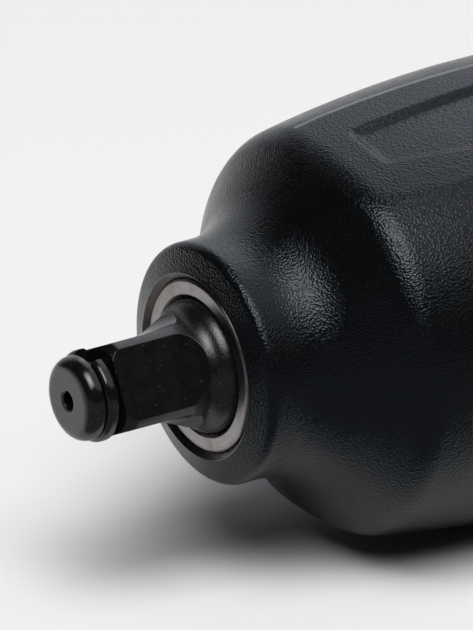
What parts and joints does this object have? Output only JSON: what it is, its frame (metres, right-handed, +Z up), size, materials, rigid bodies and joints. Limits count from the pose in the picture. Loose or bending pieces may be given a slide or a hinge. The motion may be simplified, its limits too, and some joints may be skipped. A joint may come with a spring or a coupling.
{
  "type": "air impact wrench",
  "caption": "Pistol-grip air impact wrench with a pebbled black hammer case, square drive anvil, vane motor, trigger, direction selector and handle exhaust.",
  "frame": {"origin": "on the drive axis, at the plane of the hammer case's nose face", "axes": "+X along the drive axis towards the anvil's tip, +Y the way the handle leaves the body, +Z up as the tool lies on its right side"},
  "size_m": [0.2017, 0.1993, 0.066],
  "materials": {
    "case_coat": "fine pebbled black powder coat",
    "black_oxide": "glossy black oxide",
    "turned_steel": "bare turned steel",
    "zinc_steel": "dull zinc plate",
    "hard_steel": "ground hardened steel",
    "composite": "glass-filled composite, fine texture",
    "grip_rubber": "soft moulded rubber",
    "seal_rubber": "smooth nitrile rubber",
    "gasket_fibre": "pressed fibre sheet",
    "cast_aluminium": "machined cast aluminium",
    "vane_composite": "phenolic laminate",
    "brass": "turned brass",
    "felt": "sintered felt"
  },
  "bodies": {
    "housing": {"motor_housing": "composite", "hammer_case": "case_coat", "anvil_bushing": "turned_steel", "hammer_case_gasket": "gasket_fibre", "hammer_case_bolts": "black_oxide", "hammer_case_washers": "zinc_steel", "front_inserts": "brass", "rear_inserts": "brass", "grip_sleeve": "grip_rubber", "front_end_plate": "cast_aluminium", "rear_end_plate": "cast_aluminium", "cylinder": "hard_steel", "cylinder_dowel": "hard_steel", "front_bearing_outer_race": "hard_steel", "rear_bearing_outer_race": "hard_steel", "rear_cover": "composite", "rear_cover_gasket": "gasket_fibre", "rear_cover_screws": "black_oxide", "reverse_valve_bushing": "turned_steel", "detent_ball": "hard_steel", "detent_spring": "hard_steel", "trigger_rod_bush": "brass", "trigger_spring": "hard_steel", "throttle_seat": "seal_rubber", "throttle_spring": "hard_steel", "inlet_bushing": "turned_steel", "inlet_o_ring": "seal_rubber", "inlet_screen": "zinc_steel", "muffler_element": "felt", "exhaust_deflector": "composite", "deflector_screws": "zinc_steel"},
    "rotor": {"rotor": "hard_steel", "rotor_vanes": "vane_composite", "front_bearing_inner_race": "hard_steel", "rear_bearing_inner_race": "hard_steel", "hammer_frame": "hard_steel", "hammer_pins": "hard_steel"},
    "front_hammer": {"front_hammer": "hard_steel"},
    "rear_hammer": {"rear_hammer": "hard_steel"},
    "anvil": {"anvil": "black_oxide", "friction_ring": "black_oxide", "ring_backing": "seal_rubber"},
    "front_bearing_set": {"front_bearing_balls": "hard_steel", "front_bearing_cage": "vane_composite"},
    "rear_bearing_set": {"rear_bearing_balls": "hard_steel", "rear_bearing_cage": "vane_composite"},
    "trigger": {"trigger": "composite", "trigger_rod": "hard_steel"},
    "throttle_valve": {"throttle_valve": "brass"},
    "selector": {"reverse_valve": "cast_aluminium", "reverse_valve_o_ring": "seal_rubber", "selector_knob": "composite", "knob_screw": "black_oxide"}
  },
  "joints": [
    {"name": "rotor_spin", "type": "hinge", "parent": "housing", "child": "rotor", "pos_m": [-0.0988, 0, 0], "axis": [1, 0, 0], "continuous": true},
    {"name": "anvil_spin", "type": "hinge", "parent": "housing", "child": "anvil", "pos_m": [0, 0, 0], "axis": [1, 0, 0], "continuous": true},
    {"name": "front_hammer_rock", "type": "hinge", "parent": "rotor", "child": "front_hammer", "pos_m": [-0.0356, 0.02093, -0.00173], "axis": [1, 0, 0], "range_deg": [-4.5, 4.5]},
    {"name": "rear_hammer_rock", "type": "hinge", "parent": "rotor", "child": "rear_hammer", "pos_m": [-0.0532, -0.02093, 0.00173], "axis": [1, 0, 0], "range_deg": [-4.5, 4.5]},
    {"name": "front_bearing_orbit", "type": "hinge", "parent": "housing", "child": "front_bearing_set", "pos_m": [-0.0868, 0, 0], "axis": [1, 0, 0], "continuous": true},
    {"name": "rear_bearing_orbit", "type": "hinge", "parent": "housing", "child": "rear_bearing_set", "pos_m": [-0.1528, 0, 0], "axis": [1, 0, 0], "continuous": true},
    {"name": "trigger_press", "type": "slide", "parent": "housing", "child": "trigger", "axis": [-0.9945, -0.1042, 0.0086], "range_m": [0, 0.0045], "stiffness_N_per_m": 900, "springref_m": -0.004, "deforming": ["trigger_spring"]},
    {"name": "throttle_tilt", "type": "hinge", "parent": "housing", "child": "throttle_valve", "pos_m": [-0.13323, 0.06848, -0.00567], "axis": [0, -0.0826, -0.9966], "range_deg": [0, 10.2], "deforming": ["throttle_spring"]},
    {"name": "selector_turn", "type": "hinge", "parent": "housing", "child": "selector", "pos_m": [-0.1706, 0.03638, -0.00301], "axis": [1, 0, 0], "range_deg": [-45, 45]}
  ],
  "couplings": [
    {"joint": "anvil_spin", "follows": "rotor_spin", "ratio": 1},
    {"joint": "front_bearing_orbit", "follows": "rotor_spin", "ratio": 0.39787},
    {"joint": "rear_bearing_orbit", "follows": "rotor_spin", "ratio": 0.395},
    {"joint": "throttle_tilt", "follows": "trigger_press", "rad_per_m": 39.561}
  ]
}
